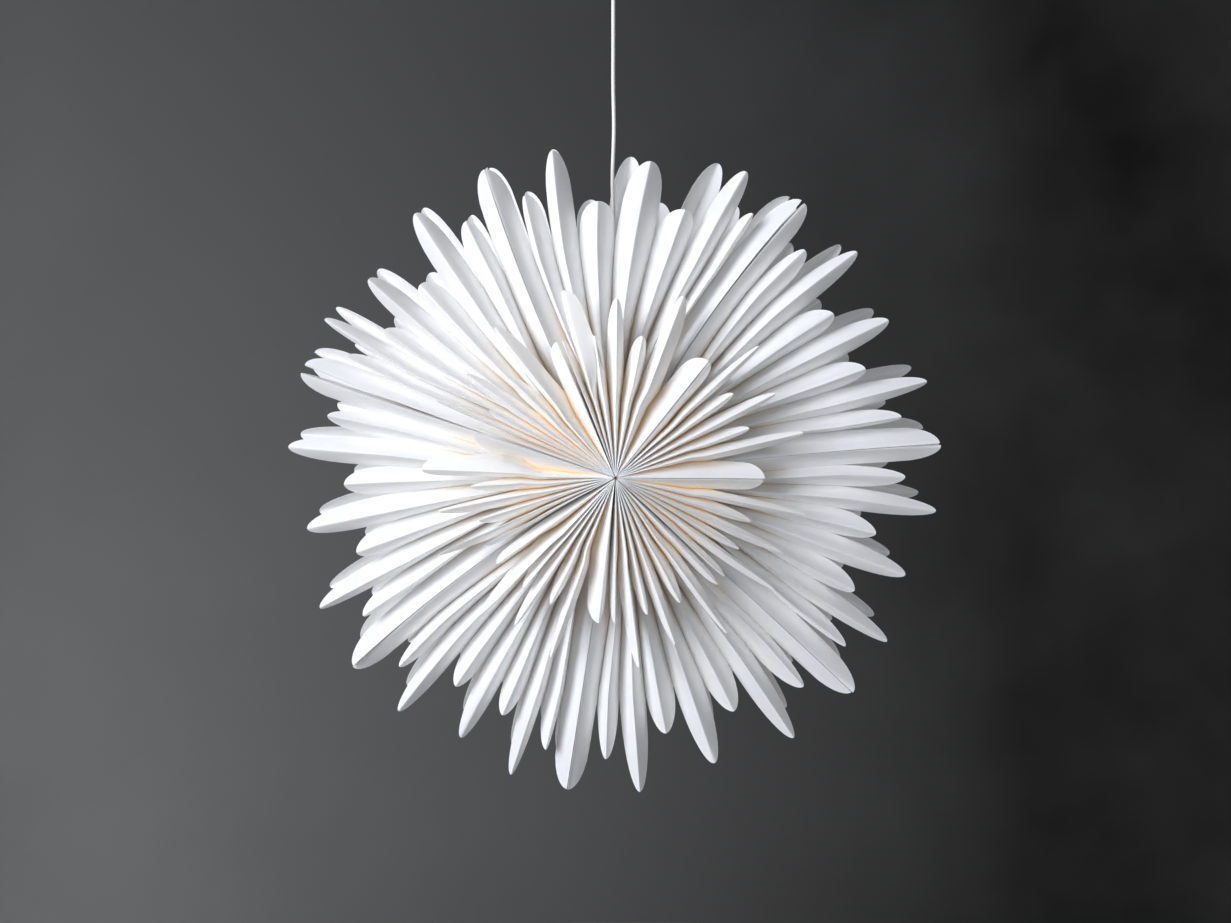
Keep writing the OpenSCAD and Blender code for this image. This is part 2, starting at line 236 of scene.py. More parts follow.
def leaf_columns(leaf, section, rng):
    """Columns across a leaf: fraction, step v from ridge to valley, ridge number and cut radius."""
    even = np.arange(HALF_STEPS + 1) / HALF_STEPS
    steps = 0.5 * even + 0.25 * (1 - np.cos(np.pi * even))
    lengths = np.array(leaf["lengths"]) * TIP - rng.uniform(0, TRIM, len(leaf["lengths"]))
    columns = []
    for i, valley in enumerate(leaf["valleys"]):
        back = steps[::-1] if i == len(leaf["valleys"]) - 1 else steps[:0:-1]
        for ridge, order in ((i, steps[:-1]), (i + 1, back)):
            at = leaf["ridges"][ridge]
            rounding = rounded_end(leaf, ridge, lengths[ridge], section)
            cut = end_of_pleat(order, leaf["fork"] * TIP, lengths[ridge], rounding)
            columns += [(at + v * (valley - at), v, ridge, r) for v, r in zip(order, cut)]
    return np.array(columns)


def widened(leaf, f, section, side, r):
    """Moves the pleats inwards where the panels beside the junctions keep their width."""
    wide = INNER_WIDE[section - 1] if leaf is INNER else (OUTER_WIDE, OUTER_WIDE)
    span = math.radians(JUNCTIONS[section] - JUNCTIONS[section - 1])
    near = np.clip(r, EVEN_WITHIN, leaf["fork"] * TIP)
    first, last = (shifted(leaf, leaf["valleys"][k], section, side) for k in (0, -1))
    new_first, new_last = (
        np.minimum(np.arcsin(np.clip(w / near, 0, 0.95)) / span, WIDEST_SHARE) for w in wide
    )
    new_last = 1 - new_last
    inside = new_first + (f - first) / (last - first) * (new_last - new_first)
    before = f / first * new_first
    after = 1 - (1 - f) / (1 - last) * (1 - new_last)
    return np.where(f <= first, before, np.where(f >= last, after, inside))


def leaf_points(leaf, section, side, rng):
    """Grid of points of one pleated leaf, with its columns and its radii."""
    columns = leaf_columns(leaf, section, rng)
    f, v, ridge, cut = columns.T
    ridge = ridge.astype(int)
    count = len(leaf["ridges"])
    turn = rng.normal(0, TURN, count)
    turn[[0, -1]] = 0
    lift = np.abs(rng.normal(0, LIFT, count))
    curl = rng.normal(0, leaf["curl"], count)
    belly = rng.normal(BELLY, BELLY_SPREAD, (count, 2))
    start = np.full(len(v), leaf["start"])
    if leaf is INNER:
        # Its ridges close over the core tube's end, but for a small hole
        start = HOLE_R + (leaf["start"] - HOLE_R) * np.clip(v / 0.12, 0, 1)
    r = start + (cut - start) * np.linspace(0, 1, ROWS)[:, None] ** 0.95
    along = r / TIP
    across = (np.sqrt(v**2 + CREASE**2) - CREASE) / (math.sqrt(1 + CREASE**2) - CREASE)
    upper = f > np.array(leaf["ridges"])[ridge]
    bulge = belly[ridge, upper.astype(int)] * np.sin(np.pi * v) * (r / 0.3)
    depth = PLEAT_DEPTH * (SHALLOW + (1 - SHALLOW) * np.clip(r / SHALLOW_WITHIN, 0, 1))
    y = leaf["apex"] - leaf["fall"] * r - depth * across + bulge
    beyond = np.clip((r - leaf["fork"] * TIP) / ((1 - leaf["fork"]) * TIP), 0, 1)
    keep = 1 - v**2
    y = y - lift[ridge] * keep * along + curl[ridge] * beyond**2
    y = np.minimum(y, leaf["apex"] + 0.0002)
    inner = float(leaf is INNER)
    fraction = widened(leaf, shifted(leaf, f, section, side), section, side, r)
    angle = angle_at(section, fraction, r, y, inner)
    for opened_section, opened_ridge in OPENED:
        if leaf is not INNER or side > 0 or section != opened_section:
            continue
        at = shifted(leaf, leaf["ridges"][opened_ridge], section, side)
        ridge_angle = angle_at(section, widened(leaf, at, section, side, r), r, y, inner)
        share = np.clip((r - OPENS_FROM) / OPENS_OVER, 0, 1) * ((ridge == opened_ridge) & ~upper)
        share = share * share * (3 - 2 * share)
        angle = angle + share * (ridge_angle - PANEL * v / r - angle)
        y = y + OPENED_LEVEL * share * (leaf["apex"] - 0.001 - y)
    angle = angle + turn[ridge] * keep * np.clip(along * 3, 0, 1)
    return placed(angle, r, side * y), columns, r


def grid_mesh(name, points, flip=False):
    """Mesh of quads over a grid of points."""
    rows, cols = points.shape[:2]
    index = np.arange(rows * cols).reshape(rows, cols)
    corners = [index[:-1, :-1], index[:-1, 1:], index[1:, 1:], index[1:, :-1]]
    quads = np.stack(corners[::-1] if flip else corners, -1).reshape(-1, 4)
    mesh = bpy.data.meshes.new(name)
    mesh.from_pydata(points.reshape(-1, 3).tolist(), [], quads.tolist())
    return mesh


def set_values(mesh, name, values):
    """Stores one number for each of the mesh's points, for a material to read."""
    made = mesh.attributes.new(name, "FLOAT", "POINT")
    made.data.foreach_set("value", values.reshape(-1).astype(np.float32))


def add_paper_data(mesh, points, columns, r):
    """Paper coordinates as UVs, and how near each point is to an edge, a fold or a valley."""
    step = np.linalg.norm(np.diff(points, axis=1), axis=2).mean(0)
    over = np.concatenate([[0], np.cumsum(step)])
    uv = np.stack([np.broadcast_to(over, r.shape), r], -1).reshape(-1, 2)
    layer = mesh.uv_layers.new(name="sheet")
    corner = np.empty(len(mesh.loops), int)
    mesh.loops.foreach_get("vertex_index", corner)
    layer.data.foreach_set("uv", uv[corner].ravel().astype(np.float32))
    v, cut = columns[:, 1], columns[:, 3]
    # Masks for the painted highlight at edges and folds, and the painted bounce light in valleys.
    set_values(mesh, "cut_edge", np.exp(-(cut - r) / EDGE_HIGHLIGHT))
    set_values(mesh, "deep", v**2.5 * np.clip((BOUNCE_WITHIN - r) / BOUNCE_OVER, 0, 1))
    set_values(mesh, "fold", np.exp(-v * r * PLEAT_ANGLE / FOLD_HIGHLIGHT))


def finished(bm, name):
    """A mesh made from that bmesh, which is then freed."""
    mesh = bpy.data.meshes.new(name)
    bm.to_mesh(mesh)
    bm.free()
    return mesh


def linked(name, data):
    """A new object of that data, linked to the scene."""
    made = bpy.data.objects.new(name, data)
    bpy.context.scene.collection.objects.link(made)
    return made


def add_piece(name, mesh, material, smooth=True):
    """A new object of that mesh, with its material and shading."""
    piece = linked(name, mesh)
    mesh.materials.append(material)
    mesh.polygons.foreach_set("use_smooth", [smooth] * len(mesh.polygons))
    mesh.update()
    return piece


def applied(piece, kind, **settings):
    """Adds a modifier and applies it to the mesh."""
    modifier = piece.modifiers.new(kind.lower(), kind)
    for key, value in settings.items():
        setattr(modifier, key, value)
    graph = bpy.context.evaluated_depsgraph_get()
    made = bpy.data.meshes.new_from_object(piece.evaluated_get(graph), depsgraph=graph)
    piece.modifiers.clear()
    old = piece.data
    piece.data = made
    bpy.data.meshes.remove(old)


def shade_sharp(piece, degrees=32):
    """Smooth shading that keeps edges sharper than that angle."""
    bm = bmesh.new()
    bm.from_mesh(piece.data)
    for edge in bm.edges:
        edge.smooth = not (edge.is_manifold and edge.calc_face_angle(0) > math.radians(degrees))
    bm.to_mesh(piece.data)
    bm.free()


# ---- materials ----------------------------------------------------------------------


def darker(tone, share):
    """The tone at that share of its brightness."""
    return tuple(c * share for c in tone[:3]) + (1,)


class Nodes:
    """A small helper that adds and links the nodes of one material."""

    def __init__(self, name):
        self.material = bpy.data.materials.new(name)
        self.material.use_nodes = True
        self.tree = self.material.node_tree
        self.shader = self.tree.nodes["Principled BSDF"]

    def add(self, kind, inputs=None, **settings):
        """A new node with those inputs, which are values or other nodes' outputs."""
        node = self.tree.nodes.new(kind)
        for key, value in settings.items():
            setattr(node, key, value)
        for key, value in (inputs or {}).items():
            self.set(node.inputs[key], value)
        return node

    def set(self, socket, value):
        """Links a socket to another node's output, or gives it that value."""
        if isinstance(value, bpy.types.NodeSocket):
            self.tree.links.new(value, socket)
        else:
            socket.default_value = value

    def finish(self, **sockets):
        """Sets the shader's inputs, whose spaces are written as underscores."""
        for key, value in sockets.items():
            self.set(self.shader.inputs[key.replace("_", " ")], value)
        return self.material

    def place(self):
        """The point's own coordinates in the object."""
        return self.add("ShaderNodeTexCoord").outputs["Object"]

    def noise(self, vector, scale, detail=4.0, rough=0.55):
        """Clouds whose values are mostly 0.3 to 0.7."""
        inputs = {"Vector": vector, "Scale": scale, "Detail": detail, "Roughness": rough}
        return self.add("ShaderNodeTexNoise", inputs).outputs["Fac"]

    def spread(self, fac, low, high):
        """Maps a value that is mostly 0.3 to 0.7 onto low to high."""
        inputs = {"Value": fac, "From Min": 0.3, "From Max": 0.7, "To Min": low, "To Max": high}
        return self.add("ShaderNodeMapRange", inputs).outputs["Result"]

    def ramp(self, value, low, high):
        """Maps a value from low to high onto 0 to 1."""
        inputs = {"Value": value, "From Min": low, "From Max": high}
        return self.add("ShaderNodeMapRange", inputs).outputs["Result"]

    def wave(self, vector, scale, distortion, direction):
        """Bands of values from 0 to 1."""
        inputs = {"Vector": vector, "Scale": scale, "Distortion": distortion}
        return self.add("ShaderNodeTexWave", inputs, bands_direction=direction).outputs["Fac"]

    def value(self, name):
        """One of the numbers that a mesh stores for each of its points."""
        return self.add("ShaderNodeAttribute", attribute_name=name).outputs["Fac"]

    def mix(self, fac, a, b):
        """The tone a where fac is 0, and b where it is 1."""
        node = self.add("ShaderNodeMix", data_type="RGBA")
        self.set(node.inputs[0], fac)
        self.set(node.inputs[6], a)
        self.set(node.inputs[7], b)
        return node.outputs[2]

    def bump(self, height, distance, strength=1.0, normal=None):
        """A normal bent by a height that reaches that distance, on top of another normal."""
        inputs = {"Height": height, "Distance": distance, "Strength": strength}
        node = self.add("ShaderNodeBump", inputs)
        if normal is not None:
            self.set(node.inputs["Normal"], normal)
        return node.outputs["Normal"]


def paper_material(name, tone, shade, bounce_tone):
    """Matt uncoated paper: pulp, fibres along the sheet, a painted highlight on edges and folds,
    and painted warm bounce light in the valleys near the hub.
    """
    n = Nodes(name)
    sheet = n.add("ShaderNodeUVMap", uv_map="sheet").outputs["UV"]
    along = n.add("ShaderNodeMapping", {"Vector": sheet, "Scale": (1, 0.22, 1)}).outputs["Vector"]
    pulp = n.noise(sheet, 55, 5)
    grain = n.noise(sheet, 620, 3)
    fibres = n.noise(along, 900, 5, 0.7)
    colour = n.mix(n.spread(pulp, 0, 1), tone, shade)
    colour = n.mix(n.spread(fibres, 0, 0.16), colour, shade)
    # Painted warm bounce light: valleys near the hub turn golden as if lit between the folds.
    colour = n.mix(n.value("deep"), colour, bounce_tone)
    # Painted highlight: cut edges and folds turn lighter and cooler, as where light catches them.
    highlight_tone = tuple(min(1, c * gain) for c, gain in zip(tone, (1.05, 1.06, 1.09, 1)))
    highlight_masks = {0: n.value("cut_edge"), 1: n.value("fold")}
    highlight_mask = n.add("ShaderNodeMath", highlight_masks, operation="MAXIMUM").outputs[0]
    colour = n.mix(highlight_mask, colour, highlight_tone)
    normal = n.bump(grain, 0.0002, 0.5)
    normal = n.bump(fibres, 0.00012, 0.6, normal)
    return n.finish(
        Base_Color=colour,
        Roughness=n.spread(grain, 0.82, 0.95),
        Normal=normal,
        Specular_IOR_Level=0.25,
        Sheen_Weight=0.12,
        Sheen_Roughness=0.6,
        Subsurface_Weight=0.5,
        Subsurface_Radius=(1.0, 0.82, 0.6),
        Subsurface_Scale=0.003,
    )


def plastic_material(name, tone, roughness, coat=0.0):
    """Moulded plastic with a faint orange peel and handled, slightly varied gloss."""
    n = Nodes(name)
    place = n.place()
    cloud = n.noise(place, 40, 4)
    peel = n.noise(place, 900, 2)
    dull = darker(tone, 0.93)
    return n.finish(
        Base_Color=n.mix(n.spread(cloud, 0, 1), tone, dull),
        Roughness=n.spread(cloud, roughness - 0.05, roughness + 0.07),
        Normal=n.bump(peel, 0.00006, 0.5),
        Coat_Weight=coat,
        Coat_Roughness=0.15,
    )


def metal_material(name, tone, roughness, brush=(1, 1, 30)):
    """Plated metal, brushed along one direction, with darker smears."""
    n = Nodes(name)
    place = n.place()
    lines = n.add("ShaderNodeMapping", {"Vector": place, "Scale": brush}).outputs["Vector"]
    scratches = n.noise(lines, 160, 6, 0.7)
    smears = n.noise(place, 60, 4)
    dark = darker(tone, 0.72)
    return n.finish(
        Base_Color=n.mix(n.spread(smears, 0, 0.6), tone, dark),
        Roughness=n.spread(scratches, roughness, roughness + 0.18),
        Normal=n.bump(scratches, 0.00004, 0.5),
        Metallic=1.0,
    )


def card_material(name, tone):
    """Spirally wound kraft card with flecks."""
    n = Nodes(name)
    place = n.place()
    flecks = n.noise(place, 700, 6, 0.75)
    wind = n.wave(place, 26, 1.2, "DIAGONAL")
    dark = darker(tone, 0.6)
    colour = n.mix(n.spread(flecks, 0, 0.8), tone, dark)
    return n.finish(
        Base_Color=n.mix(n.spread(wind, 0, 0.2), colour, dark),
        Roughness=0.9,
        Normal=n.bump(flecks, 0.00015, 0.6),
    )


def thread_material(name, tone):
    """Cotton thread wound side by side."""
    n = Nodes(name)
    place = n.place()
    turns = n.wave(place, 190, 0.6, "Y")
    fuzz = n.noise(place, 1500, 4)
    dark = darker(tone, 0.62)
    return n.finish(
        Base_Color=n.mix(turns, dark, tone),
        Roughness=n.spread(fuzz, 0.8, 0.95),
        Normal=n.bump(turns, 0.0004),
        Sheen_Weight=0.3,
    )


# The third tone of each paper is the painted warm bounce light of its valleys.
MATERIALS = {
    "pleated_paper": paper_material(
        "pleated_paper", (0.95, 0.945, 0.936, 1), (0.925, 0.919, 0.908, 1), (0.95, 0.66, 0.28, 1)
    ),
    "faces_paper": paper_material(
        "faces_paper", (0.94, 0.932, 0.918, 1), (0.912, 0.902, 0.886, 1), (0.93, 0.78, 0.50, 1)
    ),
    "seam_tape": plastic_material("seam_tape", (0.60, 0.47, 0.27, 1), 0.5),
    "card": card_material("card", (0.46, 0.33, 0.19, 1)),
    "band_thread": thread_material("band_thread", (0.80, 0.75, 0.65, 1)),
    "steel_wire": metal_material("steel_wire", (0.66, 0.67, 0.69, 1), 0.28),
    "steel_plate": metal_material("steel_plate", (0.60, 0.61, 0.62, 1), 0.34, (30, 1, 1)),
    "lamp_plastic": plastic_material("lamp_plastic", (0.86, 0.85, 0.81, 1), 0.3, 0.3),
    "soft_sleeve": plastic_material("soft_sleeve", (0.84, 0.83, 0.79, 1), 0.55),
    "bulb_diffuser": plastic_material("bulb_diffuser", (0.93, 0.91, 0.86, 1), 0.35, 0.2),
    "bulb_plastic": plastic_material("bulb_plastic", (0.86, 0.86, 0.84, 1), 0.5),
    "nickel": metal_material("nickel", (0.70, 0.69, 0.66, 1), 0.22),
    "brass": metal_material("brass", (0.78, 0.58, 0.27, 1), 0.25),
    "flex_sheath": plastic_material("flex_sheath", (0.90, 0.89, 0.87, 1), 0.42),
    "core_insulation": plastic_material("core_insulation", (0.22, 0.10, 0.045, 1), 0.45),
    "canopy_plastic": plastic_material("canopy_plastic", (0.88, 0.87, 0.84, 1), 0.4, 0.15),
    "block_plastic": plastic_material("block_plastic", (0.84, 0.83, 0.79, 1), 0.5),
}


def stands_for(piece, body, slot, *nodes):
    """Rides the piece on its body and hides the CAD nodes that it replaces; slot is not used."""
    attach(piece, body)
    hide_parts(*nodes)


# ---- paper --------------------------------------------------------------------------

# The window that a face leaves open round the lamp, and the longest edge in a face's mesh
WINDOW_R, WINDOW_Y = 0.115, 0.05
LONGEST_EDGE = 0.014


def body_of_section(section):
    """The body that a section's paper rides on."""
    return "lantern" if section == LAMP_SECTION else f"section_{section}"


def fold_with(piece):
    """Gives a section's paper a mesh of its own.
    """
    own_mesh(piece)


def make_leaf(leaf, section, front):
    """One pleated leaf of one section, as a sheet with the paper's thickness."""
    where = "front" if front else "back"
    side = -1 if front else 1
    name = f"section_{section}_{where}_{leaf['name']}"
    rng = np.random.default_rng([SEED, section, int(front), int(leaf["name"] == "outer")])
    points, columns, r = leaf_points(leaf, section, side, rng)
    mesh = grid_mesh(name + "_paper", points, flip=not front)
    add_paper_data(mesh, points, columns, r)
    piece = add_piece(name + "_paper", mesh, MATERIALS["pleated_paper"])
    applied(piece, "SOLIDIFY", thickness=PAPER, offset=-1, use_rim=True)
    shade_sharp(piece, 35)
    stands_for(piece, body_of_section(section), "pleated_paper", name)
    fold_with(piece)


def face_outline():
    """Half of a flat face's outline, from the core to its outer edge, as (radius, y)."""
    behind = 0.0006
    half = [(CORE_R, WINDOW_Y), (CORE_R, INNER["apex"] - 0.002)]
    v = np.sin(np.linspace(0, np.pi / 2, 14))
    for leaf in (INNER, OUTER):
        fork = leaf["fork"] * TIP
        length = leaf["lengths"][0] * TIP - TRIM
        r = end_of_pleat(v, fork, length, rounded_end(leaf, 0, length, 1))
        y = leaf["apex"] - behind - leaf["fall"] * r - v * leaf["lobe"]
        half += list(zip(r, y))
        if leaf is INNER:
            half.append((fork, OUTER["apex"] - behind - OUTER["fall"] * fork))
    return half


def make_faces(section):
    """A section's two flat faces, with the window beside the core, and its bunched spine."""
    name = f"section_{section}_faces"
    half = face_outline()
    window = [(WINDOW_R, -WINDOW_Y), (WINDOW_R, WINDOW_Y)]
    outline = half + [(r, -y) for r, y in reversed(half)] + window
    made = []
    for side in (0, 1):
        bm = bmesh.new()
        bm.faces.new([bm.verts.new((r, y, 0)) for r, y in outline])
        bmesh.ops.triangulate(bm, faces=bm.faces[:])
        for _ in range(3):
            long_edges = [e for e in bm.edges if e.calc_length() > LONGEST_EDGE]
            bmesh.ops.subdivide_edges(bm, edges=long_edges, cuts=1)
            bmesh.ops.triangulate(bm, faces=bm.faces[:])
        for vert in bm.verts:
            r, y = vert.co.x, vert.co.y
            inner = min(max((abs(y) - OUTER["apex"]) / 0.004, 0), 1)
            angle = angle_at(section, side, np.array(r), np.array(y), inner)
            vert.co = Vector(placed(angle, r, y))
        if side:
            bmesh.ops.reverse_faces(bm, faces=bm.faces[:])
        mesh = finished(bm, name)
        made.append(add_piece(f"face_{side}", mesh, MATERIALS["faces_paper"], smooth=False))
        applied(made[-1], "SOLIDIFY", thickness=PAPER, offset=-1, use_rim=True)
    piece = joined(made + [make_spine(section)])
    piece.name = name + "_paper"
    add_flat_uv(piece.data)
    stands_for(piece, body_of_section(section), "faces_paper", name)
    fold_with(piece)


def add_flat_uv(mesh):
    """Paper coordinates of a flat sheet, y and radius, and no painted highlight or bounce light."""
    layer = mesh.uv_layers.new(name="sheet")
    for loop in mesh.loops:
        co = mesh.vertices[loop.vertex_index].co
        layer.data[loop.index].uv = (co.y, math.hypot(co.x - HUB[0], co.z - HUB[2]))
    for name in ("cut_edge", "fold", "deep"):
        mesh.attributes.new(name, "FLOAT", "POINT")


def make_spine(section):
    """The bunched inner edges of one section's pleats: a zigzag wall round the core tube."""
    pleats, wall, tooth_depth, crumpling = 16, 0.0004, 0.0072, 0.03
    f = np.linspace(0.02, 0.98, 4 * pleats + 1)
    tooth = np.abs((np.arange(4 * pleats + 1) / 2) % 2 - 1)
    outer = CORE_R + wall + tooth_depth * tooth
    loop_r = np.concatenate([outer, np.full(len(f), CORE_R)])
    loop_f = np.concatenate([f, f[::-1]])
    reach_y = INNER["apex"] - PLEAT_DEPTH * SHALLOW - 0.003
    levels = np.linspace(-reach_y, reach_y, 25)
    n = len(loop_r)
    angles = angle_at(section, loop_f, np.full(n, 0.02), np.zeros(n), 0.0)
    rings = []
    for k, y in enumerate(levels):
        crumple = 1 - crumpling * (k % 2)
        rings.append(placed(angles, loop_r * crumple, np.full(n, y)))
    points = np.concatenate(rings)
    faces = []
    for k in range(len(levels) - 1):
        for j in range(n):
            t = (j + 1) % n
            faces.append((k * n + j, k * n + t, (k + 1) * n + t, (k + 1) * n + j))
    for start in (0, (len(levels) - 1) * n):
        for j in range(len(f) - 1):
            quad = (start + j, start + j + 1, start + n - 2 - j, start + n - 1 - j)
            faces.append(quad[::-1] if start == 0 else quad)
    mesh = bpy.data.meshes.new("spine")
    mesh.from_pydata(points.tolist(), [], faces)
    return add_piece("spine", mesh, MATERIALS["faces_paper"], smooth=False)


def joined(pieces):
    """Joins the pieces into the first one."""
    bm = bmesh.new()
    for piece in pieces:
        bm.from_mesh(piece.data)
    bmesh.ops.recalc_face_normals(bm, faces=bm.faces[:])
    bm.to_mesh(pieces[0].data)
    bm.free()
    for piece in pieces[1:]:
        bpy.data.objects.remove(piece)
    return pieces[0]


for section in range(1, len(JUNCTIONS)):
    for leaf in (OUTER, INNER):
        for front in (True, False):
            make_leaf(leaf, section, front)
    make_faces(section)


# ---- turned parts -------------------------------------------------------------------


def lathe(name, profile, material, ripple, sides=144):
    """A turned piece: the closed profile of (radius, height) pairs swept round the Z axis.

    A ripple, if there is one, gives the radius at a radius, height and angle.
    """
    bm = bmesh.new()
    rings = []
    turn = [2 * math.pi * k / sides for k in range(sides)]
    for r, z in profile:
        if r < 1e-6:
            rings.append([bm.verts.new((0, 0, z))])
            continue
        radii = [ripple(r, z, a) if ripple else r for a in turn]
        places = [(q * math.cos(a), q * math.sin(a), z) for q, a in zip(radii, turn)]
        rings.append([bm.verts.new(p) for p in places])
    for low, high in zip(rings, rings[1:] + rings[:1]):
        if len(low) == len(high) == 1:
            continue
        for k in range(sides):
            t = (k + 1) % sides
            corners = [low[k % len(low)], low[t % len(low)]]
            corners += [high[t % len(high)], high[k % len(high)]]
            corners = list(dict.fromkeys(corners))
            if len(corners) > 2:
                bm.faces.new(corners)
    bmesh.ops.recalc_face_normals(bm, faces=bm.faces[:])
    return add_piece(name, finished(bm, name), material)


def rounded(profile, radius, steps=4):
    """The profile with each corner turned into a short arc of about that radius."""
    made = []
    n = len(profile)
    for i in range(n):
        before, at, after = (np.array(profile[k % n], float) for k in (i - 1, i, i + 1))
        to_before, to_after = before - at, after - at
        a, b = np.linalg.norm(to_before), np.linalg.norm(to_after)
        if at[0] < 1e-6 or min(a, b) < 1e-6 or radius == 0:
            made.append(tuple(at))
            continue
        cut = min(radius, 0.45 * a, 0.45 * b)
        p, q = at + to_before / a * cut, at + to_after / b * cut
        for k in range(steps + 1):
            t = k / steps
            made.append(tuple((1 - t) ** 2 * p + 2 * t * (1 - t) * at + t**2 * q))
    return made


def turned(node, body, slot, profile, ripple=None, along_core=False, corner=0.0004, sharp=32):
    """Replaces a CAD node by a turned piece; the profile is in mm from the hub, z upwards."""
    points = rounded([(r / 1000, z / 1000) for r, z in profile], corner)
    piece = lathe(node + "_turned", points, MATERIALS[slot], ripple)
    turn = Matrix.Rotation(math.pi / 2, 4, "X") if along_core else Matrix()
    piece.data.transform(Matrix.Translation(Vector(HUB)) @ turn)
    shade_sharp(piece, sharp)
    stands_for(piece, body, slot, node)


def threaded(crest, root, z0, z1, pitch):
    """Points of a thread's outline from z0 up to z1, in mm."""
    turns = int(abs(z1 - z0) / pitch)
    step = math.copysign(pitch, z1 - z0)
    points = []
    for k in range(turns):
        z = z0 + k * step
        corners = ((root, 0.1), (crest, 0.4), (crest, 0.6), (root, 0.9))
        points += [(r, z + share * step) for r, share in corners]
    return points


def fluted(count, depth, low, high, from_r):
    """A ripple of shallow flutes between two heights, in mm, outside from_r."""

    def ripple(r, z, angle):
        if r < from_r / 1000 or not low / 1000 <= z <= high / 1000:
            return r
        return r - depth / 1000 * (0.5 - 0.5 * math.cos(count * angle)) ** 2

    return ripple


def relief_profile(bore, base, top, z0, z1, ribs):
    """Half section of a tapering sleeve with ribs round it, in mm."""
    profile = [(bore, z0), (base, z0)]
    for k in range(ribs):
        low, high = (z0 + (z1 - z0) * (k + s) / ribs for s in (0.35, 0.85))
        r_low, r_high = (base + (top - base) * (z - z0) / (z1 - z0) for z in (low, high))
        profile += [(r_low, low), (r_low - 0.7, low + 0.5)]
        profile += [(r_high - 0.7, high - 0.5), (r_high, high)]
    return profile + [(top, z1), (bore, z1)]


def arc(centre_r, centre_z, radius, start, end, steps=14):
    """Points along an arc of a profile, angles in degrees from outwards, counterclockwise."""
    turn = np.radians(np.linspace(start, end, steps))
    return [(centre_r + radius * math.cos(a), centre_z + radius * math.sin(a)) for a in turn]


# Height of the ceiling above the hub, in mm
CEILING = -HUB[2] * 1000


def make_canopy():
    """The cup's wall, shoulder and floor, thin and open towards the ceiling."""
    radius, wall, bend, bore = 50, 1.2, 12, 5.1
    top, floor = CEILING - 0.3, CEILING - 62
    centre = radius - bend, floor + bend
    profile = [(radius - wall, top), (radius, top)] + arc(*centre, bend, 0, -90)
    profile += [(bore, floor), (bore, floor + wall)] + arc(*centre, bend - wall, -90, 0)
    turned("canopy_cup", "canopy", "canopy_plastic", profile, corner=0.0003, sharp=60)


def make_lampholder():
    """The threaded body with its socket, the fluted cap, the gland and the ribbed sleeve."""
    body = [(7.3, 114.4), (8.2, 114), (13.2, 114)] + threaded(13.8, 13.15, 114.6, 124.4, 1.9)
    body += [(13.5, 124.6), (13.5, 126.5), (17, 126.5), (17, 130.5)]
    body += [(13.8, 130.5), (13.8, 150), (11.5, 150), (11.5, 143)]
    body += [(1.5, 143), (1.5, 141.1), (7.3, 141.1)] + threaded(7.05, 7.4, 138, 116, 2.8)
    flutes = fluted(36, 0.5, 127, 130, 16.5)
    turned("lampholder_body", "lantern", "lamp_plastic", body, flutes, corner=0.0003)
    cap = [(13.6, 150.05), (15.2, 150.05), (15.2, 164), (8, 176)]
    cap += [(4.5, 176), (4.5, 174.4), (7, 174.4), (13.6, 163.4)]
    flutes = fluted(24, 0.7, 151, 163.5, 15)
    turned("lampholder_cap", "lantern", "lamp_plastic", cap, flutes, corner=0.0008)
    gland = [(2.6, 171.2), (4.3, 171.2), (4.3, 176.05), (6.5, 176.05)]
    gland += [(6.5, 188.6), (5.4, 190), (2.6, 190)]
    flutes = fluted(18, 0.5, 177, 188, 6)
    turned("cord_gland", "lantern", "lamp_plastic", gland, flutes, corner=0.0006)
    sleeve = relief_profile(2.6, 5.2, 3.3, 190.05, 232, 9)
    turned("strain_relief", "lantern", "soft_sleeve", sleeve, corner=0.0003)
    plate = [(14.1, 124.5), (24, 124.5), (24, 126.5), (14.1, 126.5)]
    turned("yoke_plate", "lantern", "steel_plate", plate, corner=0.0005)


def make_shade_ring():
    """The ring that clamps the yoke's plate: twelve grips, a flange and a thread inside."""

    def grips(r, z, angle):
        if r < 0.0185 or z > 0.1212:
            return r
        return r + 0.001 * max(0, math.cos(12 * angle)) ** 6

    ring = [(14.1, 114.6), (18.6, 114.6), (19, 115.4), (19, 121.2)]
    ring += [(21, 121.6), (21, 124.2), (14.1, 124.2)]
    ring += threaded(14.0, 14.5, 123.6, 115.2, 1.9)
    turned("shade_ring", "ring", "lamp_plastic", ring, grips, corner=0.0004)


def make_bulb():
    """The opal globe, its moulded housing with cooling grooves and the rolled screw shell."""
    centre, rise, outside, inside = 80, 8, 22.5, 21.3
    rim, inner_rim = (math.degrees(math.asin(rise / radius)) for radius in (outside, inside))
    globe = arc(0, centre, outside, -90, rim, 40) + arc(0, centre, inside, inner_rim, -90, 40)
    turned("bulb_globe", "bulb", "bulb_diffuser", globe, corner=0.0, sharp=50)
    housing = [(0, 88.05), (21, 88.05), (20.9, 90), (19.9, 90.6), (19.6, 92.4), (18.8, 96)]
    for k in range(3):
        z = 98 + 3.4 * k
        r = 18.2 - 1.25 * k
        housing += [(r, z), (r - 0.7, z + 0.5), (r - 0.9, z + 1.3), (r - 0.35, z + 1.8)]
    housing += [(13.9, 109), (12.5, 111.95), (0, 111.95)]
    turned("bulb_housing", "bulb", "bulb_plastic", housing, corner=0.0004, sharp=40)
    shell = [(0, 112), (6.5, 112), (6.5, 113.5)] + threaded(6.8, 6.25, 114, 131.5, 2.8)
    shell += [(6.3, 132), (6.0, 134), (5, 134.2), (3.2, 137)]
    shell += [(2.4, 137.1), (2.3, 139), (1.4, 139.4), (0, 139.4)]
    turned("bulb_base", "bulb", "nickel", shell, corner=0.0005, sharp=40)


def smoothed(route, rounds=4, share=0.16):
    """A route of points with its corners cut into bends."""
    route = [np.array(p, float) for p in route]
    for _ in range(rounds):
        made = [route[0]]
        for p, q in zip(route, route[1:]):
            made += [p + share * (q - p), q - share * (q - p)]
        route = made + [route[-1]]
    return route


